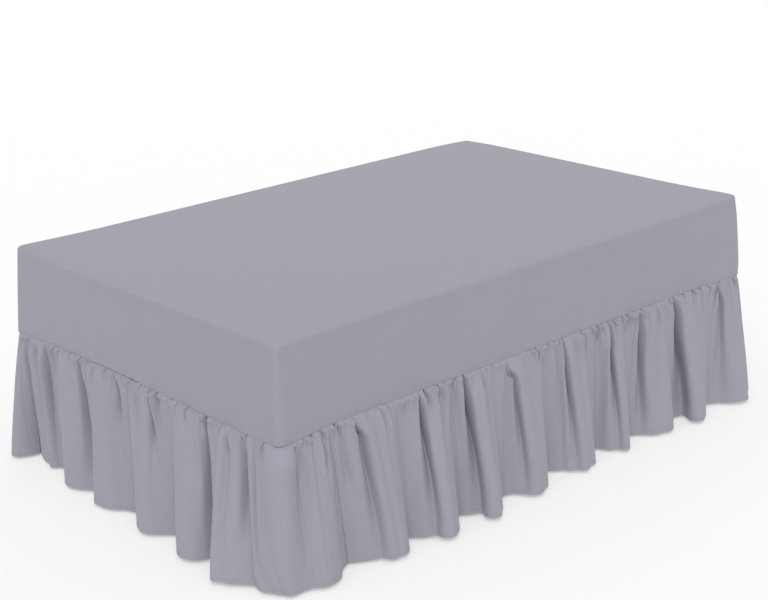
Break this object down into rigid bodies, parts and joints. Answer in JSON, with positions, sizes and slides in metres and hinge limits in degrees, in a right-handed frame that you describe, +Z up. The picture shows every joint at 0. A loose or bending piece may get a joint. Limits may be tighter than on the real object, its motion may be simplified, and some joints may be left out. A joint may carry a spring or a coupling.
{
  "type": "gathered bed skirt on a mattress and bed base",
  "caption": "Fitted sheet with sewn corners and a gathered frill hanging to the floor all round, on a plain mattress and a plain box bed base.",
  "frame": {"origin": "middle of the bed base's underside, on the floor", "axes": "+Z up; +Y along the bed from its foot to its head; +X to the right seen from the foot"},
  "size_m": [1.4654, 2.1934, 0.6588],
  "materials": {
    "skirt_cloth": "plain-woven polycotton, grey with a violet cast, matt, with a fine crease and a narrow stitched hem",
    "mattress_ticking": "plain off-white ticking, matt",
    "base_cloth": "plain woven upholstery cloth, matt"
  },
  "bodies": {
    "root": {"fitted_top": "skirt_cloth", "frill_foot": "skirt_cloth", "frill_right": "skirt_cloth", "frill_head": "skirt_cloth", "frill_left": "skirt_cloth", "mattress": "mattress_ticking", "bed_base": "base_cloth"}
  },
  "joints": []
}
